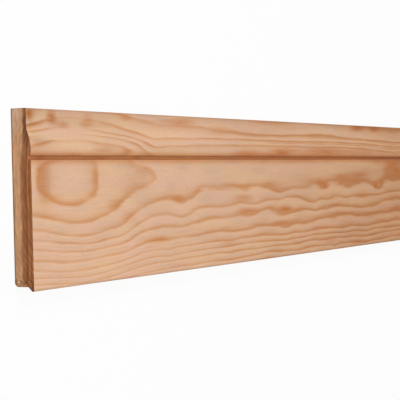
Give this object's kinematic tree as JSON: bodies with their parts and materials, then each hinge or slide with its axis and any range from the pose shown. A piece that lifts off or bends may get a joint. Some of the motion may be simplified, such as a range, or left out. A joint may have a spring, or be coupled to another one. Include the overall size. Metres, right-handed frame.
{
  "type": "skirting board length",
  "caption": "Length of planed pine skirting with a shallow moulded and quirked top edge and a relieved bottom edge, lying on its back.",
  "frame": {"origin": "centre of the board's outline on the surface it lies on, the flat back at Z = 0", "axes": "+X along the length, +Y from the plain bottom edge towards the moulded top edge, +Z from the back out of the moulded face. Fixed upright on a wall, +Y is up and the back meets the wall."},
  "size_m": [2.4, 0.169, 0.0205],
  "materials": {
    "pine": "planed and left bare, matt"
  },
  "bodies": {
    "root": {"skirting_board": "pine"}
  },
  "joints": []
}
